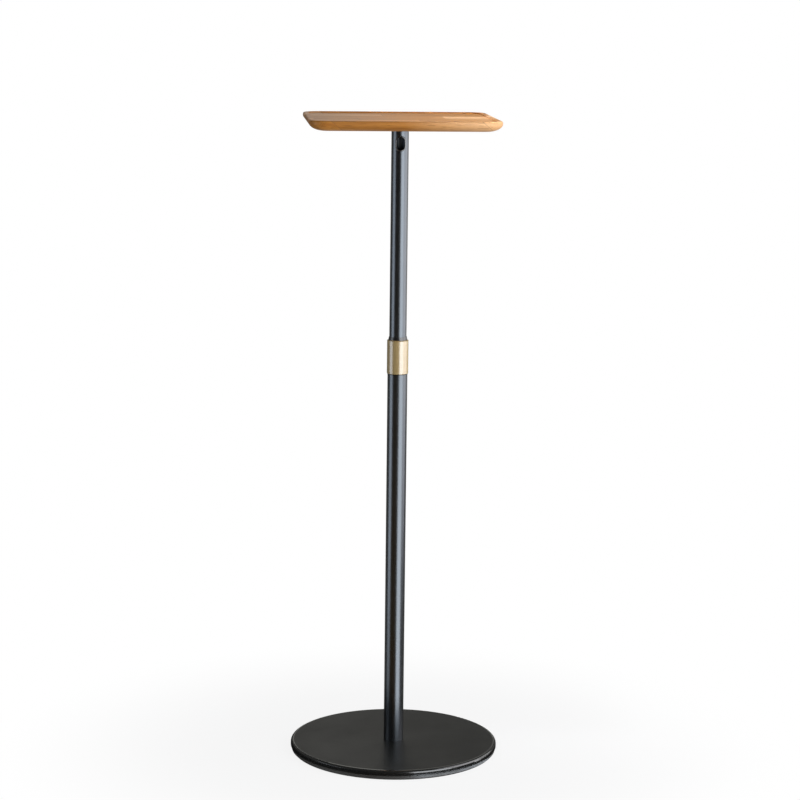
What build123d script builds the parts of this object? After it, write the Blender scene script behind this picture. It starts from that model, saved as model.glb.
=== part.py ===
from build123d import *
import os

# Floor stand for a small projector: round steel foot, telescoping pole with a twist lock, wooden tray.
# Millimetres, origin on the floor under the pole, +Z up, the front of the tray towards -Y.

# Fits
running_gap = 0.05
seat_gap = 0.05
thread_gap = 0.1

# Foot
pad_thickness = 6.0
pad_inset = 1.5
pad_bevel = min(2.0, 0.4 * pad_thickness)
pad_hole_diameter = 40.0
plate_diameter = 300.0
plate_thickness = 8.0
plate_top_round = min(4.0, 0.5 * plate_thickness)
plate_bottom_bevel = min(0.6, 0.1 * plate_thickness)

# Bolt that draws the pole down on the foot
bolt_diameter = 6.0
bolt_head_diameter = 10.0
bolt_head_height = 4.0
bolt_socket_width = 4.0
bolt_socket_depth = 2.2
bolt_floor_gap = 1.4
bolt_hole_gap = 0.3
bolt_tip_margin = 3.0
foot_washer_diameter = 18.0
foot_washer_thickness = 1.6
plug_height = 14.0

# Pole, sized from the upper tube outwards
upper_tube_diameter = 24.5
upper_tube_wall = 1.2
upper_tube_overlap = 145.0
bush_skirt_wall = 0.9
lower_tube_wall = 1.0
lower_tube_length = 540.5
tube_edge_chamfer = 0.3
glide_length = 18.0
glide_lip_thickness = 1.5

# Twist lock
collar_length = 48.7
collar_wall = 1.3
collar_top_bevel = 1.0
collar_bottom_bevel = 0.8
collar_washer_thickness = 0.8
bush_wall = 1.55
bush_skirt_length = 38.0
bush_cone_length = 9.5
bush_cone_depth = 0.3
bush_lip_height = 4.5
bush_lip_tip_wall = 0.4
bush_slit_count = 6
bush_slit_width = 1.2
bush_slit_margin = 3.0

# Cable ports
port_width = 12.0
port_height = 18.4
port_margin_top = 5.0
port_margin_foot = 9.0
grommet_neck_wall = 0.7
grommet_lip_width = 1.1
grommet_lip_thickness = 0.9

# Tray and its mounting plate
tray_rise = 301.5
tray_width = 265.0
tray_depth = 255.0
tray_thickness = 14.5
tray_edge_band = 4.0
tray_edge_round = min(2.5, 0.7 * tray_edge_band)
tray_undercut_run = 22.0
tray_bottom_corner = 4.0
tray_rim_width = 8.0
tray_recess_depth = 2.0
tray_rim_bevel = min(0.6, 0.3 * tray_recess_depth)
flange_diameter = 110.0
flange_thickness = 3.0
flange_bevel = min(1.0, 0.4 * flange_thickness)
spigot_height = 4.0
spigot_chamfer = 0.5
screw_count = 4
screw_edge_margin = 13.0
screw_diameter = 4.0
screw_head_diameter = 8.0
screw_depth = 10.0

# Diameters that follow from the fits
upper_tube_bore = upper_tube_diameter - 2 * upper_tube_wall
bush_bore = upper_tube_diameter + 2 * running_gap
bush_skirt_diameter = bush_bore + 2 * bush_skirt_wall
lower_tube_bore = bush_skirt_diameter + 2 * running_gap
lower_tube_diameter = lower_tube_bore + 2 * lower_tube_wall
bush_diameter = bush_bore + 2 * bush_wall
collar_bore = bush_diameter + 2 * running_gap
collar_diameter = collar_bore + 2 * collar_wall
collar_washer_diameter = (collar_bore + collar_diameter) / 2

# Heights, from the floor up
plate_bottom = pad_thickness
plate_top = plate_bottom + plate_thickness
lower_tube_top = plate_top + lower_tube_length
collar_bottom = lower_tube_top + collar_washer_thickness
collar_top = collar_bottom + collar_length
cone_bottom = collar_top - bush_cone_length
bush_bottom = lower_tube_top - bush_skirt_length
bush_top = collar_top + bush_lip_height
tray_bottom = collar_top + tray_rise
tray_top = tray_bottom + tray_thickness
recess_floor = tray_top - tray_recess_depth
flange_bottom = tray_bottom - flange_thickness
upper_tube_top = flange_bottom
upper_tube_bottom = lower_tube_top - upper_tube_overlap

# Outline sizes of the cable ports, shared by the tubes and the grommets
port_cut_width = port_width + 2 * (grommet_neck_wall + seat_gap)
port_cut_height = port_height + 2 * (grommet_neck_wall + seat_gap)
grommet_neck_width = port_width + 2 * grommet_neck_wall
grommet_neck_height = port_height + 2 * grommet_neck_wall
grommet_lip_outer_width = grommet_neck_width + 2 * grommet_lip_width
grommet_lip_outer_height = grommet_neck_height + 2 * grommet_lip_width
upper_port_z = upper_tube_top - spigot_height - port_margin_top - grommet_lip_outer_height / 2
lower_port_z = plate_top + plug_height + port_margin_foot + grommet_lip_outer_height / 2
front = 1
rear = -1

# Bolt and screw sizes that follow
bolt_head_bottom = bolt_floor_gap
bolt_head_top = bolt_head_bottom + bolt_head_height
counterbore_depth = bolt_head_top + foot_washer_thickness - plate_bottom
bolt_hole_diameter = bolt_diameter + 2 * bolt_hole_gap
bolt_top = plate_top + plug_height - bolt_tip_margin
screw_circle = flange_diameter - 2 * screw_edge_margin
screw_head_height = (screw_head_diameter - screw_diameter) / 2
tray_corner = tray_bottom_corner + tray_undercut_run
tray_undercut_rise = tray_thickness - tray_edge_band

os.makedirs("parts", exist_ok=True)


def save(piece, name):
    piece.part.label = name
    export_step(piece.part, f"parts/{name}.step")


# A layer of a cable grommet: a patch of a thin sleeve around the tube, with an obround outline.
def grommet_layer(inner_radius, outer_radius, width, height, port_z, side):
    with BuildPart() as layer:
        with BuildSketch(Plane.XY.offset(port_z - height)):
            Circle(outer_radius)
            Circle(inner_radius, mode=Mode.SUBTRACT)
        extrude(amount=2 * height)
        with BuildSketch(Plane.XZ):
            with Locations((0, port_z)):
                SlotOverall(height, width, rotation=90)
        extrude(amount=side * 2 * outer_radius, mode=Mode.INTERSECT)
    return layer.part


# The two lips and the neck of a grommet that sits in a port of the given tube.
def grommet_layers(tube_diameter, tube_bore, port_z, side):
    outer_face = tube_diameter / 2 + seat_gap
    inner_face = tube_bore / 2 - seat_gap
    outer_top = outer_face + grommet_lip_thickness
    inner_top = inner_face - grommet_lip_thickness
    lip_outline = (grommet_lip_outer_width, grommet_lip_outer_height)
    neck_outline = (grommet_neck_width, grommet_neck_height)
    return [
        grommet_layer(outer_face, outer_top, *lip_outline, port_z, side),
        grommet_layer(inner_top, inner_face, *lip_outline, port_z, side),
        grommet_layer(inner_top, outer_top, *neck_outline, port_z, side),
    ]


# Rubber pad under the foot, bevelled below, with a hole that the bolt's head stands in
with BuildPart() as base_pad:
    with BuildSketch():
        Circle(plate_diameter / 2 - pad_inset)
    extrude(amount=pad_thickness)
    chamfer(base_pad.edges().sort_by(Axis.Z)[0], pad_bevel)
    with BuildSketch():
        Circle(pad_hole_diameter / 2)
    extrude(amount=pad_thickness, mode=Mode.SUBTRACT)
save(base_pad, "base_pad")

# Steel foot, rounded above, with a shallow counterbore underneath for the bolt's washer
with BuildPart() as base_plate:
    with BuildSketch(Plane.XY.offset(plate_bottom)):
        Circle(plate_diameter / 2)
    extrude(amount=plate_thickness)
    rim = base_plate.edges().filter_by(GeomType.CIRCLE).sort_by(Axis.Z)
    fillet(rim[-1], plate_top_round)
    chamfer(rim[0], plate_bottom_bevel)
    with Locations(Location((0, 0, plate_bottom), (180, 0, 0))):
        CounterBoreHole(
            bolt_hole_diameter / 2,
            foot_washer_diameter / 2 + bolt_hole_gap,
            counterbore_depth,
        )
save(base_plate, "base_plate")

# Socket-head bolt
with BuildPart() as foot_bolt:
    with BuildSketch(Plane.XY.offset(bolt_head_bottom)):
        Circle(bolt_head_diameter / 2)
        RegularPolygon(bolt_socket_width / 2, 6, major_radius=False, mode=Mode.SUBTRACT)
    extrude(amount=bolt_socket_depth)
    with BuildSketch(Plane.XY.offset(bolt_head_bottom + bolt_socket_depth)):
        Circle(bolt_head_diameter / 2)
    extrude(amount=bolt_head_height - bolt_socket_depth)
    with BuildSketch(Plane.XY.offset(bolt_head_top)):
        Circle(bolt_diameter / 2)
    extrude(amount=bolt_top - bolt_head_top)
save(foot_bolt, "foot_bolt")

# Washer between the bolt's head and the foot
with BuildPart() as foot_washer:
    with BuildSketch(Plane.XY.offset(bolt_head_top)):
        Circle(foot_washer_diameter / 2)
        Circle(bolt_hole_diameter / 2, mode=Mode.SUBTRACT)
    extrude(amount=foot_washer_thickness)
save(foot_washer, "foot_washer")

# Tapped plug fixed in the lower end of the pole
with BuildPart() as foot_plug:
    with BuildSketch(Plane.XY.offset(plate_top)):
        Circle(lower_tube_bore / 2 - seat_gap)
        Circle(bolt_diameter / 2 + thread_gap, mode=Mode.SUBTRACT)
    extrude(amount=plug_height)
save(foot_plug, "foot_plug")

# Lower tube, with the cable's way out at the back, just above the foot
with BuildPart() as lower_tube:
    with BuildSketch(Plane.XY.offset(plate_top)):
        Circle(lower_tube_diameter / 2)
        Circle(lower_tube_bore / 2, mode=Mode.SUBTRACT)
    extrude(amount=lower_tube_length)
    chamfer(lower_tube.edges().group_by(Axis.Z)[-1].sort_by(SortBy.RADIUS)[-1], tube_edge_chamfer)
    with BuildSketch(Plane.XZ):
        with Locations((0, lower_port_z)):
            SlotOverall(port_cut_height, port_cut_width, rotation=90)
    extrude(amount=rear * lower_tube_diameter, mode=Mode.SUBTRACT)
save(lower_tube, "lower_tube")

with BuildPart() as lower_grommet:
    add(grommet_layers(lower_tube_diameter, lower_tube_bore, lower_port_z, rear))
    with BuildSketch(Plane.XZ):
        with Locations((0, lower_port_z)):
            SlotOverall(port_height, port_width, rotation=90)
    extrude(amount=rear * lower_tube_diameter, mode=Mode.SUBTRACT)
save(lower_grommet, "lower_grommet")

# Nylon washer that the collar and the bush turn on
with BuildPart() as collar_washer:
    with BuildSketch(Plane.XY.offset(lower_tube_top)):
        Circle(collar_washer_diameter / 2)
        Circle(bush_skirt_diameter / 2 + running_gap, mode=Mode.SUBTRACT)
    extrude(amount=collar_washer_thickness)
save(collar_washer, "collar_washer")

# Twist collar: a turned sleeve with bevelled ends, its bore closing to a cone at the mouth
with BuildPart() as twist_collar:
    with BuildSketch(Plane.XZ):
        with BuildLine():
            Polyline(
                (collar_bore / 2, collar_bottom),
                (collar_diameter / 2 - collar_bottom_bevel, collar_bottom),
                (collar_diameter / 2, collar_bottom + collar_bottom_bevel),
                (collar_diameter / 2, collar_top - collar_top_bevel),
                (collar_diameter / 2 - collar_top_bevel, collar_top),
                (collar_bore / 2 - bush_cone_depth, collar_top),
                (collar_bore / 2, cone_bottom),
                close=True,
            )
        make_face()
    revolve(axis=Axis.Z)
save(twist_collar, "twist_collar")

# Nylon bush: a skirt in the lower tube, a slit body that the collar's cone squeezes, and a lip on top
with BuildPart() as collar_bush:
    with BuildSketch(Plane.XZ):
        with BuildLine():
            Polyline(
                (bush_bore / 2, bush_bottom),
                (bush_skirt_diameter / 2, bush_bottom),
                (bush_skirt_diameter / 2, collar_bottom),
                (bush_diameter / 2, collar_bottom),
                (bush_diameter / 2, cone_bottom),
                (bush_diameter / 2 - bush_cone_depth, collar_top),
                (bush_bore / 2 + bush_lip_tip_wall, bush_top),
                (bush_bore / 2, bush_top),
                close=True,
            )
        make_face()
    revolve(axis=Axis.Z)
    with PolarLocations(0, bush_slit_count):
        with Locations((bush_diameter / 2, 0, (collar_bottom + cone_bottom) / 2)):
            Box(
                bush_bore / 2,
                bush_slit_width,
                cone_bottom - collar_bottom - 2 * bush_slit_margin,
                mode=Mode.SUBTRACT,
            )
save(collar_bush, "collar_bush")

# Upper tube, with the cable's way in at the front, under the tray
with BuildPart() as upper_tube:
    with BuildSketch(Plane.XY.offset(upper_tube_bottom)):
        Circle(upper_tube_diameter / 2)
        Circle(upper_tube_bore / 2, mode=Mode.SUBTRACT)
    extrude(amount=upper_tube_top - upper_tube_bottom)
    with BuildSketch(Plane.XZ):
        with Locations((0, upper_port_z)):
            SlotOverall(port_cut_height, port_cut_width, rotation=90)
    extrude(amount=front * upper_tube_diameter, mode=Mode.SUBTRACT)
save(upper_tube, "upper_tube")

with BuildPart() as upper_grommet:
    add(grommet_layers(upper_tube_diameter, upper_tube_bore, upper_port_z, front))
    with BuildSketch(Plane.XZ):
        with Locations((0, upper_port_z)):
            SlotOverall(port_height, port_width, rotation=90)
    extrude(amount=front * upper_tube_diameter, mode=Mode.SUBTRACT)
save(upper_grommet, "upper_grommet")

# Glide ring on the upper tube's end, which keeps it centred in the lower tube
with BuildPart() as tube_glide:
    with BuildSketch(Plane.XY.offset(upper_tube_bottom - glide_lip_thickness)):
        Circle(lower_tube_bore / 2 - running_gap)
        Circle(upper_tube_bore / 2, mode=Mode.SUBTRACT)
    extrude(amount=glide_lip_thickness)
    with BuildSketch(Plane.XY.offset(upper_tube_bottom)):
        Circle(lower_tube_bore / 2 - running_gap)
        Circle(upper_tube_diameter / 2 + seat_gap, mode=Mode.SUBTRACT)
    extrude(amount=glide_length)
save(tube_glide, "tube_glide")

# Round steel plate under the tray, with a spigot in the upper tube and countersunk screw holes
with BuildPart() as tray_flange:
    with BuildSketch(Plane.XY.offset(flange_bottom)):
        Circle(flange_diameter / 2)
    extrude(amount=flange_thickness)
    chamfer(tray_flange.edges().filter_by(GeomType.CIRCLE).sort_by(Axis.Z)[0], flange_bevel)
    with BuildSketch(Plane.XY.offset(flange_bottom)):
        Circle(upper_tube_bore / 2 - seat_gap)
    extrude(amount=-spigot_height)
    chamfer(tray_flange.edges().filter_by(GeomType.CIRCLE).sort_by(Axis.Z)[0], spigot_chamfer)
    with Locations(Location((0, 0, flange_bottom), (180, 0, 0))):
        with PolarLocations(screw_circle / 2, screw_count, start_angle=45):
            CounterSinkHole(
                screw_diameter / 2 + seat_gap,
                screw_head_diameter / 2 + seat_gap,
                counter_sink_angle=90,
            )
save(tray_flange, "tray_flange")

# Countersunk screws that hold the plate to the tray
with PolarLocations(screw_circle / 2, screw_count, start_angle=45) as screw_places:
    screw_centres = [place.position for place in screw_places.locations]
for number, centre in enumerate(screw_centres, start=1):
    with BuildPart() as tray_screw:
        with BuildSketch(Plane.XZ.offset(-centre.Y)):
            with BuildLine():
                Polyline(
                    (centre.X, flange_bottom),
                    (centre.X + screw_head_diameter / 2, flange_bottom),
                    (centre.X + screw_diameter / 2, flange_bottom + screw_head_height),
                    (centre.X + screw_diameter / 2, tray_bottom + screw_depth),
                    (centre.X, tray_bottom + screw_depth),
                    close=True,
                )
            make_face()
        revolve(axis=Axis((centre.X, centre.Y, 0), (0, 0, 1)))
    save(tray_screw, f"tray_screw_{number}")

# Wooden tray: a shallow recess inside a raised rim, and an edge that curves in underneath
with BuildPart() as tray_board:
    with BuildSketch(Plane.XY.offset(tray_bottom)):
        RectangleRounded(tray_width, tray_depth, tray_corner)
    extrude(amount=tray_thickness)
    with BuildLine(Plane.XY.offset(tray_bottom)) as tray_outline:
        half_front = tray_width / 2 - tray_corner
        side = tray_depth - 2 * tray_corner
        run = Line((0, -tray_depth / 2), (half_front, -tray_depth / 2))
        for length in (side, 2 * half_front, side, half_front):
            bend = JernArc(run @ 1, run % 1, tray_corner, 90)
            run = PolarLine(bend @ 1, length, direction=bend % 1)
    undercut_plane = Plane(origin=(0, -tray_depth / 2, tray_bottom), x_dir=(0, 1, 0), z_dir=(1, 0, 0))
    with BuildSketch(undercut_plane) as undercut:
        with BuildLine():
            curve = EllipticalCenterArc(
                (tray_undercut_run, tray_undercut_rise),
                tray_undercut_run,
                tray_undercut_rise,
                start_angle=180,
                arc_size=90,
            )
            Polyline(
                curve @ 1,
                (tray_undercut_run, -tray_edge_band),
                (-tray_edge_band, -tray_edge_band),
                (-tray_edge_band, tray_undercut_rise),
                curve @ 0,
            )
        make_face()
    sweep(sections=undercut.sketch, path=tray_outline.wire(), mode=Mode.SUBTRACT)
    with BuildSketch(Plane.XY.offset(recess_floor)):
        RectangleRounded(
            tray_width - 2 * tray_rim_width,
            tray_depth - 2 * tray_rim_width,
            tray_corner - tray_rim_width,
        )
    extrude(amount=tray_recess_depth, mode=Mode.SUBTRACT)
    rim_top = tray_board.faces().sort_by(Axis.Z)[-1]
    chamfer(rim_top.inner_wires()[0].edges(), tray_rim_bevel)
    rim_top = tray_board.faces().sort_by(Axis.Z)[-1]
    fillet(rim_top.outer_wire().edges(), tray_edge_round)
    with BuildSketch(Plane.XY.offset(tray_bottom)):
        with PolarLocations(screw_circle / 2, screw_count, start_angle=45):
            Circle(screw_diameter / 2 + seat_gap)
    extrude(amount=screw_depth + seat_gap, mode=Mode.SUBTRACT)
save(tray_board, "tray_board")
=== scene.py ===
# A lesson in dressing a projector stand: camera, light, finishes and small fittings

# %% [markdown]
# The stand comes to us as solid pieces that already have their true size and place: a round foot, a pole
# in two tubes, a gold collar and a wooden tray. In this lesson we leave the large shapes alone, give them
# their looks, and make a few small fittings finer. We could start by drawing everything again in Blender,
# but the solids are exact, so we load them and keep their outer box.

import math

import bmesh
import bpy
from mathutils import Matrix, Vector


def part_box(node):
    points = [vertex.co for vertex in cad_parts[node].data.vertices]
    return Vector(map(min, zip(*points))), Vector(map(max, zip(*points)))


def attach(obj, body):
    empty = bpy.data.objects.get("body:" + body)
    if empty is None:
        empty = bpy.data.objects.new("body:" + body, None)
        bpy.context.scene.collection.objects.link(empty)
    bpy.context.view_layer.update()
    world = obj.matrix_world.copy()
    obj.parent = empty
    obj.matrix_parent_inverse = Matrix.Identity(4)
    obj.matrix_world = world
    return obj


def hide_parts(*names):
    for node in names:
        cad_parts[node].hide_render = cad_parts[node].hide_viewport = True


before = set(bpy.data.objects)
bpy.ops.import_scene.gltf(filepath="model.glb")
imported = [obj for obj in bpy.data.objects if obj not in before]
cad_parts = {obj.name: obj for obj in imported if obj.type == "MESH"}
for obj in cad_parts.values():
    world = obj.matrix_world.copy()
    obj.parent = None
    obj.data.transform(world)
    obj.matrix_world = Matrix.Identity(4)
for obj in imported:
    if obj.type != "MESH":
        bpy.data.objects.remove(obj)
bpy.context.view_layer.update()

# %% [markdown]
# The camera comes first, because every later choice is judged through it. The view is taken from about
# three and a half metres away, a little left of the middle, with a long lens at chest height. A long lens
# keeps the pole straight and the tray nearly flat to the eye. We build the camera's place from plain
# numbers: how far, how high, how much it swings, tilts and leans.

# %% Place the camera
lens_length = 109.94
sensor_width = 36.0
camera_distance = 3.4416
camera_height = 1.1077
camera_side_step = 0.0041
camera_swing = math.radians(-4.644)
camera_tilt = math.radians(9.744)
camera_lean = math.radians(0.662)


def around(angle, distance, height):
    """A point at that distance from the pole, at an angle in degrees to the right of the camera."""
    turn = camera_swing + math.radians(angle)
    return Vector((math.sin(turn) * distance, -math.cos(turn) * distance, height))


camera_data = bpy.data.cameras.new("studio_camera")
camera_data.lens = lens_length
camera_data.sensor_width = sensor_width
camera = bpy.data.objects.new("studio_camera", camera_data)
bpy.context.scene.collection.objects.link(camera)
side_step = Vector((math.cos(camera_swing), math.sin(camera_swing), 0.0)) * camera_side_step
camera.matrix_world = (
    Matrix.Translation(around(0, camera_distance, camera_height) + side_step)
    @ Matrix.Rotation(camera_swing, 4, "Z")
    @ Matrix.Rotation(math.pi / 2 - camera_tilt, 4, "X")
    @ Matrix.Rotation(camera_lean, 4, "Z")
)
bpy.context.scene.camera = camera
bpy.context.scene.view_settings.view_transform = "Standard"
print("camera at", [round(value, 3) for value in camera.location])

# %% [markdown]
# A node material is a small chain of boxes, and we are going to build many chains. Linking each box by
# hand takes several lines, so we write one helper that adds a box and wires its inputs in one go: a
# number or colour is set on the socket, and another box's output is linked to it. The other helpers are
# short names for boxes that come back often.

# %% Helpers that start a material and add a box to it
def add_box(tree, kind, inputs=None, **settings):
    """Adds a node to a tree. Inputs are set by name or position, with a value or another node's output."""
    made = tree.nodes.new(kind)
    for name, value in settings.items():
        setattr(made, name, value)
    for name, value in (inputs or {}).items():
        if isinstance(value, bpy.types.NodeSocket):
            tree.links.new(value, made.inputs[name])
        else:
            made.inputs[name].default_value = value
    return made


def figure(tree, operation, first, second=0.0):
    """One sum on two values: the operation's name says which."""
    return add_box(tree, "ShaderNodeMath", {0: first, 1: second}, operation=operation).outputs[0]


def vector_figure(tree, operation, first, second):
    """One sum on two vectors, axis by axis."""
    made = add_box(tree, "ShaderNodeVectorMath", {0: first, 1: second}, operation=operation)
    return made.outputs["Vector"]


def vector_length(tree, vector):
    """How long a vector is."""
    return add_box(tree, "ShaderNodeVectorMath", {0: vector}, operation="LENGTH").outputs["Value"]


def mix_shaders(tree, share, first, second):
    """The first shader where the share is 0, the second where it is 1."""
    return add_box(tree, "ShaderNodeMixShader", {0: share, 1: first, 2: second}).outputs[0]


def new_finish(name):
    """A material with one Principled shader, and its tree."""
    finish = bpy.data.materials.new(name)
    finish.use_nodes = True
    return finish, finish.node_tree, finish.node_tree.nodes["Principled BSDF"]


print("helpers ready: add_box, figure, vector_figure, vector_length, mix_shaders, new_finish")

# %% [markdown]
# The photograph has a pure white ground. We could light a white sheet until it clips, but that would also
# bleach the tray. Instead the sky is white only to rays that come straight from the camera or from a
# mirror-like surface, and dimmer to the rays that carry soft fill light.

# %% A white sky that doesn't flood the object
white = (1.0, 1.0, 1.0, 1.0)
white_level = 1.0
fill_colour = (0.97, 0.98, 1.0, 1.0)
fill_level = 0.27

world = bpy.data.worlds.new("studio_sky")
bpy.context.scene.world = world
world.use_nodes = True
sky = world.node_tree
sky.nodes.clear()
ray = add_box(sky, "ShaderNodeLightPath").outputs
seen_or_mirrored = figure(sky, "MAXIMUM", ray["Is Camera Ray"], ray["Is Glossy Ray"])
seen_at_all = figure(sky, "MAXIMUM", seen_or_mirrored, ray["Is Transmission Ray"])
fill_sky = add_box(sky, "ShaderNodeBackground", {"Color": fill_colour, "Strength": fill_level}).outputs[0]
white_sky = add_box(sky, "ShaderNodeBackground", {"Color": white, "Strength": white_level}).outputs[0]
whole_sky = mix_shaders(sky, seen_at_all, fill_sky, white_sky)
add_box(sky, "ShaderNodeOutputWorld", {"Surface": whole_sky})
print("fill light level:", fill_level)

# %% [markdown]
# The floor is a wide pale sheet. Near the foot it takes the stand's shadow, and further out it fades into
# the white of the sky, so no edge of the sheet shows. The fade is a ramp on the distance from the pole.
# Seen from below the sheet is clear, so that we can also look at the underside of the foot. It lies a hair
# lower than the foot, because two faces in one plane flicker, and mirror-like rays pass through it.

# %% A floor finish that keeps the shadow and turns white further out
floor_grey = (0.9, 0.9, 0.9, 1.0)
floor_roughness = 0.9
shadow_start = 0.2
shadow_reach = 0.6
shadow_share = 0.13

floor_finish, floor_tree, floor_shader = new_finish("pale_floor")
floor_shader.inputs["Base Color"].default_value = floor_grey
floor_shader.inputs["Roughness"].default_value = floor_roughness
floor_place = add_box(floor_tree, "ShaderNodeTexCoord").outputs["Object"]
fade_range = {"From Min": shadow_start, "From Max": shadow_reach, "To Min": 1.0 - shadow_share, "To Max": 1.0}
floor_fade = add_box(
    floor_tree,
    "ShaderNodeMapRange",
    {"Value": vector_length(floor_tree, floor_place), **fade_range},
    interpolation_type="SMOOTHSTEP",
).outputs[0]
floor_ray = add_box(floor_tree, "ShaderNodeLightPath").outputs["Is Camera Ray"]
floor_share = figure(floor_tree, "MULTIPLY", floor_ray, floor_fade)
floor_white = add_box(floor_tree, "ShaderNodeEmission", {"Color": white, "Strength": white_level}).outputs[0]
floor_top = mix_shaders(floor_tree, floor_share, floor_shader.outputs[0], floor_white)
from_below = add_box(floor_tree, "ShaderNodeNewGeometry").outputs["Backfacing"]
clear_sheet = add_box(floor_tree, "ShaderNodeBsdfTransparent").outputs[0]
floor_seen = mix_shaders(floor_tree, from_below, floor_top, clear_sheet)
floor_tree.links.new(floor_seen, floor_tree.nodes["Material Output"].inputs["Surface"])
print("shadow fades out from", shadow_start, "to", shadow_reach, "metres")

# %% The floor sheet
floor_reach = 5.0
floor_height = -0.0002
one_face = [(0, 1, 2, 3)]


def square_corners(reach, height):
    """The corners of a level square round the pole, from half its width and its height."""
    return [(x * reach, y * reach, height) for x, y in ((-1, -1), (1, -1), (1, 1), (-1, 1))]


def stage_sheet(name, corners, faces, finish):
    """A sheet with a finish, linked to the scene and not attached to the stand."""
    mesh = bpy.data.meshes.new(name)
    mesh.from_pydata(corners, [], faces)
    mesh.materials.append(finish)
    sheet = bpy.data.objects.new(name, mesh)
    bpy.context.scene.collection.objects.link(sheet)
    return sheet


floor = stage_sheet("studio_floor", square_corners(floor_reach, floor_height), one_face, floor_finish)
floor.visible_glossy = False
print("floor sheet:", 2 * floor_reach, "metres wide")

# %% [markdown]
# A black pole shows its light like a mirror: a broad bright stripe on the right, a thinner grey one on the
# left, and a dark middle. A small bright lamp would give a hard line, so the key is a tall soft box. Its
# angle is read from the stripe: a stripe on a round tube mirrors what stands at twice that turn from the
# camera. A weaker box on the right carries the stripe on to the pole's edge. It ends at floor level, so the
# lower part of the pole mirrors the dark below it. Two more boxes are for the wood alone: a small one close
# in front of the tray's right half, and one high above with a grid on it, whose narrow beam falls on the
# right end alone. Both are hidden from mirrors, to leave the stripes on the black pieces as they are.

# %% A helper for soft boxes
daylight = (0.90, 0.95, 1.0)
room_light = (0.88, 0.86, 0.91)


def hang_soft_box(name, place, aim, width, height, glow, colour=daylight, beam=180):
    """An area lamp at a place, turned to a point. A grid can narrow its beam, in degrees."""
    lamp_data = bpy.data.lights.new(name, "AREA")
    lamp_data.shape = "RECTANGLE"
    lamp_data.size = width
    lamp_data.size_y = height
    lamp_data.color = colour
    lamp_data.spread = math.radians(beam)
    lamp_data.energy = glow * math.pi * width * height
    lamp = bpy.data.objects.new(name, lamp_data)
    lamp.location = place
    lamp.rotation_euler = (aim - place).to_track_quat("-Z", "Y").to_euler()
    lamp.visible_camera = False
    bpy.context.scene.collection.objects.link(lamp)
    print(name, "glow", glow, "power", round(lamp_data.energy, 1))
    return lamp


print("light colours:", daylight, room_light)

# %% Soft boxes for the pole
key_height = 0.4
key_aim = Vector((0.0, 0.0, key_height))
side_height = 1.03
side_aim = Vector((0.0, 0.0, side_height))

hang_soft_box("key_box", around(43, 2.0, key_height), key_aim, width=1.56, height=2.2, glow=2.1)
hang_soft_box(
    "side_box", around(88, 1.2, side_height), side_aim, width=0.95, height=2.0, glow=1.2, colour=room_light
)

# %% Soft boxes for the wood
tray_front = around(30, 0.5, 0.93)
tray_middle = Vector((0.0, 0.0, 0.9))
above_tray = Vector((-0.2, -0.35, 2.1))
tray_right_end = Vector((0.12, -0.02, 0.92))

tray_box = hang_soft_box("tray_box", tray_front, tray_middle, width=0.32, height=0.32, glow=2.4)
top_box = hang_soft_box("top_box", above_tray, tray_right_end, width=0.2, height=0.2, glow=2.3, beam=20)
for wood_light in (tray_box, top_box):
    wood_light.visible_glossy = False

# %% [markdown]
# What isn't a lamp has to be dark, or the white sky would turn the black coat grey. A studio hangs dark
# cards just outside the picture for this. Ours are plain sheets that only mirror-like rays can see, so
# they take nothing from the soft fill light. A bluish card like a window gives the grey stripe on the left,
# a brown one low in front warms the dark middle of the lower tube as a wooden floor would, and a gap lets
# the sky in as the pale right edge.

# %% A helper for cards
card_foot = -3.0
card_head = 4.0
card_grey = (1.0, 0.99, 0.93, 1.0)
window_blue = (0.92, 1.0, 1.1, 1.0)
floor_brown = (1.0, 0.6, 0.2, 1.0)


def cut_card(name, corners, faces, glow, tint=card_grey):
    """A sheet with an even glow that only mirror-like rays can see."""
    finish, tree, shader = new_finish(name)
    tree.nodes.remove(shader)
    sheen = add_box(tree, "ShaderNodeEmission", {"Color": tint, "Strength": glow}).outputs[0]
    tree.links.new(sheen, tree.nodes["Material Output"].inputs["Surface"])
    card = stage_sheet(name, corners, faces, finish)
    card.visible_camera = False
    card.visible_diffuse = False
    card.visible_shadow = False
    card.visible_transmission = False
    print(name, "glow", glow)


def hang_card(name, angle, distance, half_angle, glow, lowest=card_foot, highest=card_head, tint=card_grey):
    """An upright card that fills that half angle to both sides of an angle, seen from the pole."""
    middle = around(angle, distance, 0.0)
    half_width = distance * math.tan(math.radians(half_angle))
    along = Vector((-middle.y, middle.x, 0.0)).normalized() * half_width
    low = Vector((0.0, 0.0, lowest))
    high = Vector((0.0, 0.0, highest))
    corners = [middle - along + low, middle + along + low, middle + along + high, middle - along + high]
    cut_card(name, corners, one_face, glow, tint)


print("cards hang from", card_head, "down to", card_foot, "metres")

# %% Cards round the stand
front_place = {"angle": -20, "distance": 4.2, "half_angle": 38}
front_split = -0.2
window_place = {"angle": -75, "distance": 2.4, "half_angle": 17}

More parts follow.
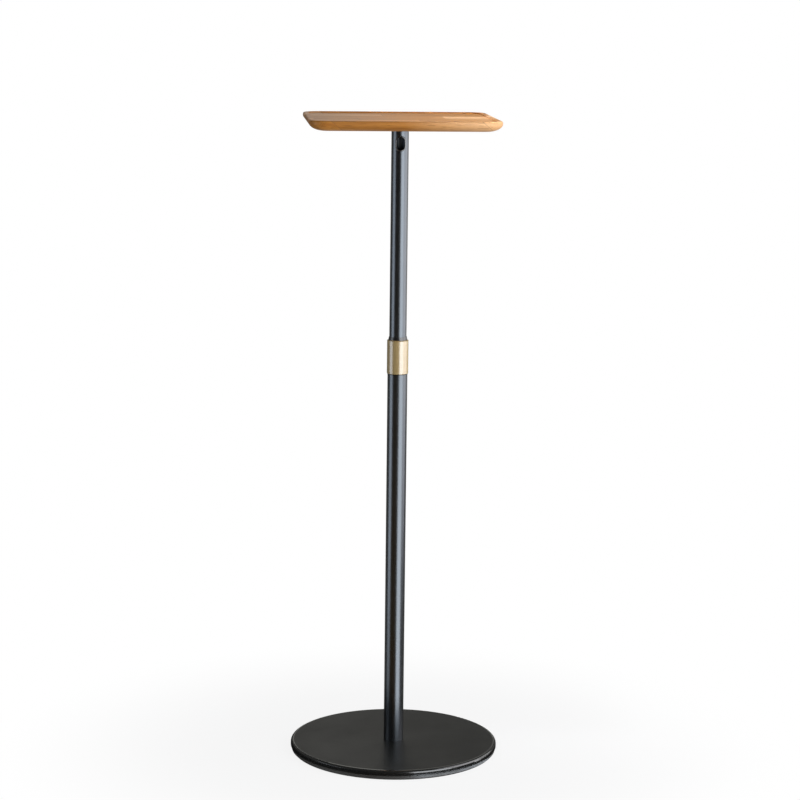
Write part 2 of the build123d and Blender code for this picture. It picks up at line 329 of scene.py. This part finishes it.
hang_card("front_card", **front_place, glow=0.02, lowest=front_split)
hang_card("low_front_card", **front_place, glow=0.09, highest=front_split, tint=floor_brown)
hang_card("window_card", **window_place, glow=1.4, lowest=-0.5, highest=1.7, tint=window_blue)
hang_card("left_card", angle=-136, distance=3.2, half_angle=46, glow=0.10)
hang_card("right_card", angle=163, distance=3.2, half_angle=26, glow=0.10)
hang_card("low_right_card", angle=106, distance=2.2, half_angle=34, glow=0.10, highest=0.15)
hang_card("low_left_card", angle=-72, distance=2.2, half_angle=20, glow=0.35, highest=-0.42)
hang_card("high_right_card", angle=122, distance=2.2, half_angle=18, glow=0.08, lowest=1.5)
hang_card("high_left_card", angle=-72, distance=2.2, half_angle=20, glow=0.08, lowest=1.0)

# %% [markdown]
# Three more places are seen in a mirror. The flat tops of the foot and the tray mirror what stands straight
# behind the stand, the foot the lower part and the tray the upper part, so two pairs of grey cards hang
# there, split at the height that parts the two views. The round edge of the foot mirrors the ceiling, and
# the pole, seen from above, mirrors what lies far below, so both get a card as well.

# %% Cards behind, above and below
back_distance = 2.0
back_half = 8
back_split = 0.85
back_cards = (("left", -172, 0.36, 0.80), ("right", 172, 0.26, 0.40))
flat_reach = 4.5
flat_glow = 0.06
ceiling_height = 3.4

for side_name, back_angle, foot_glow, tray_glow in back_cards:
    hang_card("back_low_" + side_name, back_angle, back_distance, back_half, foot_glow, highest=back_split)
    hang_card("back_high_" + side_name, back_angle, back_distance, back_half, tray_glow, lowest=back_split)
for card_name, card_height in (("ceiling_card", ceiling_height), ("pit_card", card_foot)):
    cut_card(card_name, square_corners(flat_reach, card_height), one_face, flat_glow)

# %% [markdown]
# The upright edge of the foot mirrors the floor just in front of it, and flat cards can't follow its round.
# Here the cards are bent: each is a band of narrow faces between two arcs. A dark ring lies on the floor for
# the plate. It is a painted shadow: a dark sheet that stands in for the floor's shadow round the foot,
# because mirror-like rays pass through the floor itself. A dark strip stands on the left to keep the window
# off the edge, and a pale strip below the floor on the right lights the rubber cover's edge.

# %% Cards bent round the foot
bend_steps = 96
ring_near = (0.15, 0.0005)
ring_far = (0.215, 0.0005)
ring_shift = 0.0185
strip_low = (0.2, 0.001)
strip_high = (0.2, 0.035)
pale_near = (0.19, -0.02)
pale_far = (0.27, -0.02)


def bend_card(name, near, far, start, end, glow, tint=card_grey, shift=0.0):
    """A card between two arcs, each a radius and a height. The near arc can shift to the front."""
    corners = []
    for (radius, height), forward in ((near, shift), (far, 0.0)):
        for step in range(bend_steps + 1):
            corner = around(start + (end - start) * step / bend_steps, radius, height)
            corners.append(corner + around(0, forward, 0.0))
    count = bend_steps + 1
    faces = [(step, step + 1, step + 1 + count, step + count) for step in range(bend_steps)]
    cut_card(name, corners, faces, glow, tint)


# Painted shadow: a dark ring, seen only by mirror-like rays, in place of the floor's shadow round the foot.
bend_card("floor_shadow_ring", ring_near, ring_far, start=0, end=360, glow=0.01, shift=ring_shift)
bend_card("left_strip", strip_low, strip_high, start=-130, end=-15, glow=0.02)
bend_card("right_strip", pale_near, pale_far, start=15, end=95, glow=5.0, tint=window_blue)

# %% [markdown]
# Finishes sit on coordinates. The pieces were loaded with their place in the mesh, so Object coordinates
# are simply metres in the stand's own frame, and they move along when the tray is raised or turned. We
# add a few more helpers: one stretches those metres, one makes a noise from them, one turns a noise into
# the range of values that a socket wants, and the last ones put it all on a shader.

# %% Helpers for patterns in metres
def metres(tree, stretch):
    """Object coordinates multiplied by a stretch for each axis."""
    place = add_box(tree, "ShaderNodeTexCoord").outputs["Object"]
    return vector_figure(tree, "MULTIPLY", place, stretch)


def noise(tree, vector, detail, roughness=0.5):
    """A grey noise over the given coordinates."""
    settings = {"Vector": vector, "Scale": 1.0, "Detail": detail, "Roughness": roughness}
    return add_box(tree, "ShaderNodeTexNoise", settings).outputs["Fac"]


def spread(tree, value, low, high, from_low=0.3, from_high=0.7):
    """Maps a noise to the range from low to high."""
    ends = {"From Min": from_low, "From Max": from_high, "To Min": low, "To Max": high}
    return add_box(tree, "ShaderNodeMapRange", {"Value": value, **ends}).outputs["Result"]


def blend_colours(tree, share, first, second):
    """Mixes two colours by a share from 0 to 1."""
    return add_box(tree, "ShaderNodeMix", {0: share, 6: first, 7: second}, data_type="RGBA").outputs[2]


print("helpers ready: metres, noise, spread, blend_colours")

# %% Helpers that put patterns on a shader
lacquer_index = 1.6


def paint(tree, shader, colour, roughness):
    """Links a pattern of colours and one of roughness to a shader."""
    tree.links.new(colour, shader.inputs["Base Color"])
    tree.links.new(roughness, shader.inputs["Roughness"])


def raise_bumps(tree, shader, height, strength, distance):
    """Turns a height pattern into a bump on the shader's normal."""
    bump = add_box(tree, "ShaderNodeBump", {"Height": height, "Strength": strength, "Distance": distance})
    tree.links.new(bump.outputs["Normal"], shader.inputs["Normal"])


def clear_coat(shader, index, haze):
    """A clear layer over a finish: how strongly it mirrors, and how soft its mirror is."""
    shader.inputs["Coat Weight"].default_value = 1.0
    shader.inputs["Coat IOR"].default_value = index
    shader.inputs["Coat Roughness"].default_value = haze


def lacquer(shader, index, haze, body_gloss=1.0):
    """A clear layer over a dark finish that has a gloss of its own."""
    shader.inputs["IOR"].default_value = lacquer_index
    shader.inputs["Specular IOR Level"].default_value = body_gloss
    clear_coat(shader, index, haze)


def dress(names, finish):
    """Gives a finish to solids by name."""
    for name in names:
        for material_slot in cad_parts[name].material_slots:
            material_slot.material = finish
    print(finish.name, "on", ", ".join(names))


print("helpers ready: paint, raise_bumps, clear_coat, lacquer, dress")

# %% [markdown]
# The pole has a smooth satin black coat. Under a lens such a coat is never dead flat: it has a faint
# ripple like orange peel, and hands leave patches that are a little duller. We put the ripple in the bump
# and the patches in the roughness, both very weak, so that the long stripes stay straight. Sliding in the
# lock leaves fine upright rub marks, which are only a change of roughness.

# %% The coat on the two tubes
pole_black = (0.006, 0.0056, 0.0052, 1.0)
pole_touched = (0.010, 0.0094, 0.0088, 1.0)
pole_mirror_tint = (0.70, 0.84, 1.0, 1.0)
hand_patch_stretch = (45.0, 45.0, 9.0)
rub_mark_stretch = (1400.0, 1400.0, 4.0)
orange_peel_stretch = (900.0, 900.0, 900.0)

pole_coat, pole_tree, pole_shader = new_finish("pole_satin_black")
lacquer(pole_shader, index=1.7, haze=0.24)
pole_shader.inputs["Specular Tint"].default_value = pole_mirror_tint
hand_patches = noise(pole_tree, metres(pole_tree, hand_patch_stretch), detail=4.0)
rub_marks = noise(pole_tree, metres(pole_tree, rub_mark_stretch), detail=2.0)
patch_dullness = spread(pole_tree, hand_patches, low=0.24, high=0.33)
rub_dullness = spread(pole_tree, rub_marks, low=0.0, high=0.04)
pole_dullness = figure(pole_tree, "ADD", patch_dullness, rub_dullness)
pole_colour = blend_colours(pole_tree, hand_patches, pole_black, pole_touched)
paint(pole_tree, pole_shader, pole_colour, pole_dullness)
orange_peel = noise(pole_tree, metres(pole_tree, orange_peel_stretch), detail=2.0)
raise_bumps(pole_tree, pole_shader, orange_peel, strength=0.04, distance=0.0004)
dress(["lower_tube", "upper_tube"], pole_coat)

# %% [markdown]
# The foot and the plate under the tray wear a powder coat. Seen at a low angle it mirrors the grey behind
# it, so the foot looks like dark slate with a soft dark image of the pole in it. The powder's grain is about
# a third of a millimetre. Along the rounded edge, where hands and shoes rub, the coat is polished, and that
# draws the bright line round the foot. The polish is a clear layer whose weight rises with the distance
# from the pole.

# %% The powder coat on the foot
plate_black = (0.009, 0.0094, 0.009, 1.0)
plate_dusty = (0.015, 0.0155, 0.0146, 1.0)
plate_gloss = 0.2
powder_stretch = (2600.0, 2600.0, 2600.0)
plate_dust_stretch = (14.0, 14.0, 14.0)

plate_coat, plate_tree, plate_shader = new_finish("foot_powder_black")
plate_shader.inputs["Specular IOR Level"].default_value = plate_gloss
powder_grain = noise(plate_tree, metres(plate_tree, powder_stretch), detail=2.0)
plate_dust = noise(plate_tree, metres(plate_tree, plate_dust_stretch), detail=5.0)
plate_colour = blend_colours(plate_tree, plate_dust, plate_black, plate_dusty)
paint(plate_tree, plate_shader, plate_colour, spread(plate_tree, plate_dust, low=0.34, high=0.42))
raise_bumps(plate_tree, plate_shader, powder_grain, strength=0.12, distance=0.0003)
dress(["base_plate", "tray_flange"], plate_coat)

# %% The polish on the foot's edge
polish_start = 0.1450
polish_end = 0.1462
polish_index = 2.0
polish_haze = 0.12
level_only = (1.0, 1.0, 0.0)

plate_radius = vector_length(plate_tree, metres(plate_tree, level_only))
rubbed = spread(plate_tree, plate_radius, low=0.0, high=1.0, from_low=polish_start, from_high=polish_end)
plate_tree.links.new(rubbed, plate_shader.inputs["Coat Weight"])
plate_shader.inputs["Coat IOR"].default_value = polish_index
plate_shader.inputs["Coat Roughness"].default_value = polish_haze
print("polish rises from", polish_start, "to", polish_end, "metres from the pole's axis")

# %% [markdown]
# The twist collar is the one bright piece, a sleeve with a pale gold plating that was turned on a lathe and
# brushed. The brushing runs round the sleeve, so the noise is squeezed hard along the pole and left long
# around it. Metal has no colour of its own under the reflection: the gold is the colour of the mirror. Over
# it lies a thin hard flash that mirrors white, so the bright stripes go pale and the dark one stays golden.

# %% The brushed gold collar
gold_deep = (0.73, 0.575, 0.29, 1.0)
gold_light = (0.77, 0.605, 0.32, 1.0)
brush_pull = 0.3
brush_stretch = (30.0, 30.0, 5200.0)
finger_stretch = (70.0, 70.0, 50.0)

collar_gold, gold_tree, gold_shader = new_finish("collar_pale_gold")
gold_shader.inputs["Metallic"].default_value = 1.0
gold_shader.inputs["Anisotropic"].default_value = brush_pull
clear_coat(gold_shader, index=2.8, haze=0.24)
brush_lines = noise(gold_tree, metres(gold_tree, brush_stretch), detail=3.0)
finger_marks = noise(gold_tree, metres(gold_tree, finger_stretch), detail=3.0)
gold_colour = blend_colours(gold_tree, finger_marks, gold_deep, gold_light)
paint(gold_tree, gold_shader, gold_colour, spread(gold_tree, brush_lines, low=0.75, high=0.85))
raise_bumps(gold_tree, gold_shader, brush_lines, strength=0.06, distance=0.0002)
dress(["twist_collar"], collar_gold)

# %% [markdown]
# The tray is glued up from staves of honey-coloured wood that run from left to right. We could unwrap the
# tray and paint each stave, but a solid texture is better here: it runs through the wood, so the top, the
# moulded edge and the end grain agree with each other. A stave is made of shorter lengths that meet in
# slanted joints. Dividing a coordinate by the size of a piece and dropping the fraction counts the pieces,
# so each length gets a number of its own, and from that a chance value.

# %% Number the staves and their lengths
stave_width = 0.047
stave_phase = 10.2
front_stave = 7
length_of_piece = 0.206
front_joint = 0.095
joint_step = 0.083
joint_slant = 1.2
tone_seed = 72

tray_low, tray_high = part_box("tray_board")
tray_middle_height = (tray_low.z + tray_high.z) / 2
wood, wood_tree, wood_shader = new_finish("tray_honey_wood")


def wood_figure(operation, first, second=0.0):
    """One sum on two values in the wood's own tree."""
    return figure(wood_tree, operation, first, second)


wood_place = add_box(wood_tree, "ShaderNodeTexCoord").outputs["Object"]
wood_axes = add_box(wood_tree, "ShaderNodeSeparateXYZ", {0: wood_place}).outputs
stave_run = wood_figure("ADD", wood_figure("DIVIDE", wood_axes["Y"], stave_width), stave_phase)
stave_number = wood_figure("FLOOR", stave_run)
staves_from_front = wood_figure("SUBTRACT", stave_number, front_stave)
joint_shift = wood_figure("ADD", wood_figure("MULTIPLY", staves_from_front, joint_step), front_joint)
height_in_tray = wood_figure("SUBTRACT", wood_axes["Z"], tray_middle_height)
slanted_run = wood_figure("ADD", wood_axes["X"], wood_figure("MULTIPLY", height_in_tray, joint_slant))
piece_run = wood_figure("DIVIDE", wood_figure("ADD", slanted_run, joint_shift), length_of_piece)
piece_number = wood_figure("FLOOR", piece_run)
stave_code = wood_figure("ADD", stave_number, tone_seed)
piece_code = add_box(wood_tree, "ShaderNodeCombineXYZ", {0: stave_code, 1: piece_number}).outputs[0]
chance_box = add_box(wood_tree, "ShaderNodeTexWhiteNoise", {"Vector": piece_code}, noise_dimensions="2D")
piece_chance = chance_box.outputs["Value"]
print("staves of", stave_width, "metres in lengths of", length_of_piece)

# %% [markdown]
# Two lengths of wood never meet without a trace: a thin brown line of glue shows along each stave and across
# each joint. Carved grooves as fine as that would flicker at this distance, so the lines are painted. Folding
# a run like a ruler gives the distance from the nearest joint, and the line is where that is almost nothing.

# %% Draw the glue lines where two pieces meet
glue_half_width = 0.0003
glue_soft_edge = 0.5
half_step = 0.5


def glue_line(run, size):
    """White within a hair of each whole number of a run, for pieces of that size."""
    from_joint = wood_figure("PINGPONG", run, half_step)
    hair = glue_half_width / size
    inside = hair * (1 - glue_soft_edge)
    outside = hair * (1 + glue_soft_edge)
    return spread(wood_tree, from_joint, low=1.0, high=0.0, from_low=inside, from_high=outside)


glue = wood_figure("MAXIMUM", glue_line(stave_run, stave_width), glue_line(piece_run, length_of_piece))
print("glue lines", 2000 * glue_half_width, "mm wide")

# %% [markdown]
# Grain has three sizes. Year rings are broad bands, fibres are fine streaks, and pores are short dark dashes.
# All three are noises drawn out from left to right, as the staves run. Each length of wood reads them at a
# place of its own, so the pattern breaks at every joint as it does in glued wood.

# %% Grow the grain along each length
grain_jump = (3.0, 3.0, 3.0)
ring_stretch = (2.2, 16.0, 16.0)
fibre_stretch = (10.0, 420.0, 420.0)
pore_stretch = (55.0, 1500.0, 1500.0)
ring_count = 26.0

piece_jump = vector_figure(wood_tree, "MULTIPLY", chance_box.outputs["Color"], grain_jump)
grain_place = vector_figure(wood_tree, "ADD", wood_place, piece_jump)


def along_grain(stretch):
    """The piece's own coordinates, stretched along the grain."""
    return vector_figure(wood_tree, "MULTIPLY", grain_place, stretch)


year_field = noise(wood_tree, along_grain(ring_stretch), detail=2.0)
year_rings = wood_figure("PINGPONG", wood_figure("MULTIPLY", year_field, ring_count), 1.0)
fibres = noise(wood_tree, along_grain(fibre_stretch), detail=5.0, roughness=0.6)
pores = noise(wood_tree, along_grain(pore_stretch), detail=1.0)
pore_dashes = spread(wood_tree, pores, low=0.0, high=0.8, from_low=0.62, from_high=0.70)
print("grain: year rings, fibres and pores")

# %% [markdown]
# Honey-coloured wood runs from pale sapwood to dark heartwood. Fibres and rings first choose between two
# middle tones. Then the chance value of each length turns some of them darker and some paler, and a few only
# towards one end. Pores and glue come last. Oiled wood has a soft sheen, and it is uneven because the fibres
# soak up the oil unevenly.

# %% Tones from sapwood to heartwood
honey_pale = (0.95, 0.57, 0.29, 1.0)
honey_light = (0.78, 0.335, 0.065, 1.0)
honey_deep = (0.43, 0.145, 0.018, 1.0)
honey_dark = (0.24, 0.085, 0.015, 1.0)
ring_strength = 0.40

ring_share = wood_figure("MULTIPLY", year_rings, ring_strength)
grain_share = wood_figure("ADD", spread(wood_tree, fibres, low=0.0, high=0.5), ring_share)
wood_grain = blend_colours(wood_tree, grain_share, honey_light, honey_deep)
heart_share = spread(wood_tree, piece_chance, low=0.0, high=0.40, from_low=0.3, from_high=1.0)
wood_toned = blend_colours(wood_tree, heart_share, wood_grain, honey_dark)
pale_piece = spread(wood_tree, piece_chance, low=0.75, high=0.0, from_low=0.0, from_high=0.35)
pale_ended = spread(wood_tree, piece_chance, low=0.0, high=1.0, from_low=0.6, from_high=0.9)
piece_within = wood_figure("FRACT", piece_run)
pale_rise = spread(wood_tree, piece_within, low=0.0, high=0.7, from_low=0.45, from_high=1.0)
sap_share = wood_figure("MAXIMUM", pale_piece, wood_figure("MULTIPLY", pale_rise, pale_ended))
wood_sapped = blend_colours(wood_tree, sap_share, wood_toned, honey_pale)
print("honey tones from", honey_pale, "to", honey_dark)

# %% Pores, glue and oil on the tray
glue_brown = (0.17, 0.075, 0.025, 1.0)
glue_strength = 0.7
oil_gloss = 0.3

wood_pored = blend_colours(wood_tree, pore_dashes, wood_sapped, honey_dark)
glue_share = wood_figure("MULTIPLY", glue, glue_strength)
wood_glued = blend_colours(wood_tree, glue_share, wood_pored, glue_brown)
wood_shader.inputs["Specular IOR Level"].default_value = oil_gloss
paint(wood_tree, wood_shader, wood_glued, spread(wood_tree, fibres, low=0.34, high=0.50))
raise_bumps(wood_tree, wood_shader, fibres, strength=0.10, distance=0.0004)
dress(["tray_board"], wood)

# %% [markdown]
# The lock's bush, its washer and the glide are moulded black nylon with a glossy skin, so the lip above the
# collar carries the same stripes as the pole. The grain of the mould shows only as a weak change of gloss.

# %% Moulded nylon
nylon_black = (0.007, 0.007, 0.007, 1.0)
nylon_grey = (0.012, 0.012, 0.012, 1.0)
mould_stretch = (1800.0, 1800.0, 1800.0)

lock_nylon, nylon_tree, nylon_shader = new_finish("lock_black_nylon")
lacquer(nylon_shader, index=1.7, haze=0.24, body_gloss=0.5)
mould_grain = noise(nylon_tree, metres(nylon_tree, mould_stretch), detail=2.0)
nylon_colour = blend_colours(nylon_tree, mould_grain, nylon_black, nylon_grey)
paint(nylon_tree, nylon_shader, nylon_colour, spread(nylon_tree, mould_grain, low=0.26, high=0.36))
raise_bumps(nylon_tree, nylon_shader, mould_grain, strength=0.06, distance=0.0002)
dress(["collar_bush", "collar_washer", "tube_glide"], lock_nylon)

# %% [markdown]
# Under the steel plate lies a moulded rubber cover, whose edge shows as a paler band below the plate. Rubber
# scatters more light than a black coat, and it picks up dust, so it is a warm dark grey. The mould's fine
# grain is a pattern of small cells, which gives round pits where a noise would give soft waves.

# %% The rubber under the foot
pad_grey = (0.060, 0.059, 0.056, 1.0)
pad_dusty = (0.085, 0.083, 0.079, 1.0)
pad_gloss = 0.9
pad_cell_stretch = (700.0, 700.0, 700.0)
pad_dust_stretch = (40.0, 40.0, 40.0)


def small_cells(tree, stretch):
    """The distance from the middle of each cell in a pattern of small cells."""
    settings = {"Vector": metres(tree, stretch), "Scale": 1.0}
    return add_box(tree, "ShaderNodeTexVoronoi", settings).outputs["Distance"]


pad_rubber, pad_tree, pad_shader = new_finish("foot_pad_rubber")
pad_shader.inputs["Specular IOR Level"].default_value = pad_gloss
pad_dust = noise(pad_tree, metres(pad_tree, pad_dust_stretch), detail=5.0)
pad_colour = blend_colours(pad_tree, pad_dust, pad_grey, pad_dusty)
paint(pad_tree, pad_shader, pad_colour, spread(pad_tree, pad_dust, low=0.38, high=0.50))
raise_bumps(pad_tree, pad_shader, small_cells(pad_tree, pad_cell_stretch), strength=0.12, distance=0.0003)
dress(["base_pad"], pad_rubber)

# %% [markdown]
# The hidden fittings are zinc plated steel: bright, slightly blue and never quite even, with faint crystals
# and fine scratches from the spanner. The crystals are cells again, this time in the colour.

# %% Zinc plated fittings
zinc_blue = (0.48, 0.49, 0.51, 1.0)
zinc_bright = (0.60, 0.60, 0.61, 1.0)
crystal_stretch = (500.0, 500.0, 500.0)
scratch_stretch = (2200.0, 260.0, 900.0)

zinc, zinc_tree, zinc_shader = new_finish("fitting_zinc")
zinc_shader.inputs["Metallic"].default_value = 1.0
zinc_scratches = noise(zinc_tree, metres(zinc_tree, scratch_stretch), detail=4.0)
zinc_colour = blend_colours(zinc_tree, small_cells(zinc_tree, crystal_stretch), zinc_blue, zinc_bright)
paint(zinc_tree, zinc_shader, zinc_colour, spread(zinc_tree, zinc_scratches, low=0.28, high=0.45))
raise_bumps(zinc_tree, zinc_shader, zinc_scratches, strength=0.08, distance=0.0002)
dress(["foot_plug", "foot_bolt", "foot_washer"], zinc)

# %% [markdown]
# Now the small shapes that the solids leave plain. They are all made in one way: rings of points are set
# down one after another, and each ring is joined to the next with four-sided faces. Blender could carry a
# section along a curve with a bevel, but these paths lie on a round tube, and with our own loop every point
# can be set down on it exactly.

# %% Helpers that turn rings of points into a piece
skin_crease = 45


def join_loops(shape, first, second):
    """Four-sided faces between two rings with the same number of vertices."""
    for spot in range(len(first)):
        after = (spot + 1) % len(first)
        shape.faces.new((first[spot], first[after], second[after], second[spot]))


def set_down(name, shape, crease, finish, body):
    """Makes a riding piece of a shape. Edges that turn by more than a crease, in degrees, stay sharp."""
    bmesh.ops.recalc_face_normals(shape, faces=shape.faces)
    mesh = bpy.data.meshes.new(name)
    shape.to_mesh(mesh)
    shape.free()
    mesh.shade_smooth()
    mesh.set_sharp_from_angle(angle=math.radians(crease))
    mesh.materials.append(finish)
    piece = bpy.data.objects.new(name, mesh)
    bpy.context.scene.collection.objects.link(piece)
    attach(piece, body)
    print(name, "faces", len(mesh.polygons))
    return piece


def skin(name, rings, finish, body):
    """A closed skin through rings of points: each is joined to the next, and the last to the first."""
    shape = bmesh.new()
    loops = [[shape.verts.new(point) for point in ring] for ring in rings]
    for here, there in zip(loops, loops[1:] + loops[:1]):
        join_loops(shape, here, there)
    return set_down(name, shape, skin_crease, finish, body)


print("helpers ready: join_loops, set_down, skin")

# %% [markdown]
# Each cable port has a soft ring of glossy rubber, with a round bead on both sides of the tube wall. The
# solid ring has flat lips, which catch no light. On the real one the bead's shoulder shines as a bright
# crescent above and below the hole, so here the bead is truly round. The outline of the port is a slot with
# round ends, and each point of it is pushed back until it lies on the tube.

# %% Glossy rubber for the rings
rubber_black = (0.010, 0.010, 0.010, 1.0)
rubber_grey = (0.020, 0.020, 0.019, 1.0)
bloom_stretch = (400.0, 400.0, 400.0)

ring_rubber, rubber_tree, rubber_shader = new_finish("port_ring_rubber")
lacquer(rubber_shader, index=1.7, haze=0.16)
rubber_bloom = noise(rubber_tree, metres(rubber_tree, bloom_stretch), detail=4.0)
rubber_colour = blend_colours(rubber_tree, rubber_bloom, rubber_black, rubber_grey)
paint(rubber_tree, rubber_shader, rubber_colour, spread(rubber_tree, rubber_bloom, low=0.18, high=0.30))
raise_bumps(rubber_tree, rubber_shader, rubber_bloom, strength=0.05, distance=0.0002)
print(ring_rubber.name, "ready for the two rings")

# %% The section of a ring
bead_reach = 0.0018
bead_height = 0.0009
bead_skirt = 0.00015
neck_wall = 0.0007
points_per_bead = 9


def ring_section(outer, inner):
    """Reach from the hole's edge and distance from the pole's axis, once round the ring's section."""
    section = []
    for top, lift in ((outer, 1), (inner, -1)):
        bead = []
        for step in range(points_per_bead):
            turn = math.pi * step / (points_per_bead - 1)
            reach = bead_reach / 2 * (1 - math.cos(turn))
            crown = (bead_height - bead_skirt) * (1 - math.sin(turn))
            bead.append((reach, top - lift * crown))
        foot = top - lift * bead_height
        bead += [(bead_reach, foot), (neck_wall, foot)]
        section += bead if lift > 0 else reversed(bead)
    return section


print("bead", 1000 * bead_reach, "mm wide and", 1000 * bead_height, "mm high")

# %% Port rings with round beads
seat_play = 0.00005
turns_per_end = 30
upper_wall = 0.0012
lower_wall = 0.0010
front_side = -1
rear_side = 1


def port_ring(name, node, body, side, tube_wall):
    """A beaded ring in the place of a flat one, on the front or the rear side of the pole."""
    low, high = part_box(node)
    outer = max(abs(low.y), abs(high.y))
    inner = outer - tube_wall - 2 * (bead_height + seat_play)
    half_width = (high.x - low.x) / 2 - bead_reach
    straight = (high.z - low.z) / 2 - bead_reach - half_width
    middle = (high.z + low.z) / 2
    rings = []
    for end in (1, -1):
        for step in range(turns_per_end + 1):
            turn = math.pi * step / turns_per_end + (0 if end > 0 else math.pi)
            ring = []
            for reach, radius in ring_section(outer, inner):
                x = math.cos(turn) * (half_width + reach)
                z = middle + end * straight + math.sin(turn) * (half_width + reach)
                ring.append((x, side * math.sqrt(radius**2 - x**2), z))
            rings.append(ring)
    piece = skin(name, rings, ring_rubber, body)
    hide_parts(node)


port_ring("upper_port_ring", "upper_grommet", "top", front_side, upper_wall)
port_ring("lower_port_ring", "lower_grommet", "stand", rear_side, lower_wall)

# %% [markdown]
# The upper tube is welded to the plate under the tray. A weld is a row of overlapping drops, so its bead
# swells and shrinks in small steps on its way round. It lies in the corner between tube and plate and wears
# the same coat as the plate.

# %% The weld under the tray
weld_size = 0.0013
weld_drops = 44
weld_ripple = 0.12
weld_steps = 264
weld_sides = 10

tube_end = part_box("upper_tube")[1]
weld_rings = []
for step in range(weld_steps):
    turn = 2 * math.pi * step / weld_steps
    swell = weld_size * (1 - weld_ripple + weld_ripple * abs(math.sin(weld_drops * turn / 2)))
    ring = []
    for side in range(weld_sides):
        lean = 2 * math.pi * side / weld_sides
        radius = tube_end.x + swell * math.cos(lean)
        ring.append((radius * math.cos(turn), radius * math.sin(turn), tube_end.z + swell * math.sin(lean)))
    weld_rings.append(ring)
skin("flange_weld", weld_rings, plate_coat, "top")

# %% [markdown]
# Four countersunk screws hold the plate to the tray. The solids stop at a plain head, and a driver needs a
# cross to turn it. The head's flat is filled between two outlines, its rim and the cross, and the cross then
# sinks in with slanting walls. The shank inside the wood gets the ridges of a thread.

# %% The cross in a screw's head
cross_arm = 0.0021
cross_half_width = 0.0005
cross_depth = 0.0013
cross_taper = 0.6


def cross_outline(size):
    """The twelve corners of a cross, shrunk by a size."""
    arm = cross_arm * size
    half = cross_half_width * size
    corners = []
    for quarter in range(4):
        turn = Matrix.Rotation(quarter * math.pi / 2, 2)
        corners += [turn @ Vector(corner) for corner in ((half, half), (half, arm), (-half, arm))]
    return corners


print("cross", 2000 * cross_arm, "mm across and", 1000 * cross_depth, "mm deep")

# %% The profile of a screw from its head to its tip
screw_flat = 0.0037
screw_head = 0.0040
screw_rim = 0.0002
screw_core = 0.0015
screw_crest = 0.0020
screw_head_height = 0.0020
thread_pitch = 0.0014
core_shares = (0.3, 0.6)


def screw_profile(length):
    """Radius and height of each ring of a screw, from the flat of its head to its tip."""
    profile = [(screw_flat, 0.0), (screw_head, screw_rim), (screw_crest, screw_head_height)]
    height = screw_head_height
    while height + thread_pitch < length:
        profile += [(screw_core, height + share * thread_pitch) for share in core_shares]
        profile.append((screw_crest, height + thread_pitch))
        height += thread_pitch
    profile.append((screw_core / 2, length))
    return profile


print("screw head", 2000 * screw_head, "mm across, thread", 1000 * thread_pitch, "mm a turn")

# %% Screws with a cross in the head
screw_sides = 48
screw_crease = 30
side_turns = [2 * math.pi * side / screw_sides for side in range(screw_sides)]


def loop_at(shape, outline, place, height):
    """Sets down an outline at a height above a place, as a ring of vertices."""
    return [shape.verts.new((place.x + point.x, place.y + point.y, place.z + height)) for point in outline]


def edge_ring(shape, loop):
    """The edges round a ring of vertices."""
    ends = zip(loop, loop[1:] + loop[:1])
    return [shape.edges.get(pair) or shape.edges.new(pair) for pair in ends]


def cross_screw(name, node):
    """A countersunk screw in the place of a plain one, its head facing down."""
    low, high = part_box(node)
    place = Vector(((low.x + high.x) / 2, (low.y + high.y) / 2, low.z))
    shape = bmesh.new()
    loops = []
    for radius, height in screw_profile(high.z - low.z):
        circle = [Vector((radius * math.cos(turn), radius * math.sin(turn))) for turn in side_turns]
        loops.append(loop_at(shape, circle, place, height))
    for first, second in zip(loops, loops[1:]):
        join_loops(shape, first, second)
    mouth = loop_at(shape, cross_outline(1.0), place, 0.0)
    bottom = loop_at(shape, cross_outline(cross_taper), place, cross_depth)
    join_loops(shape, mouth, bottom)
    for outlines in ((loops[0], mouth), (bottom,), (loops[-1],)):
        rim = [edge for loop in outlines for edge in edge_ring(shape, loop)]
        bmesh.ops.triangle_fill(shape, edges=rim, use_beauty=True)
    piece = set_down(name, shape, screw_crease, zinc, "top")
    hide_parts(node)


for number in range(1, 5):
    cross_screw(f"cross_screw_{number}", f"tray_screw_{number}")
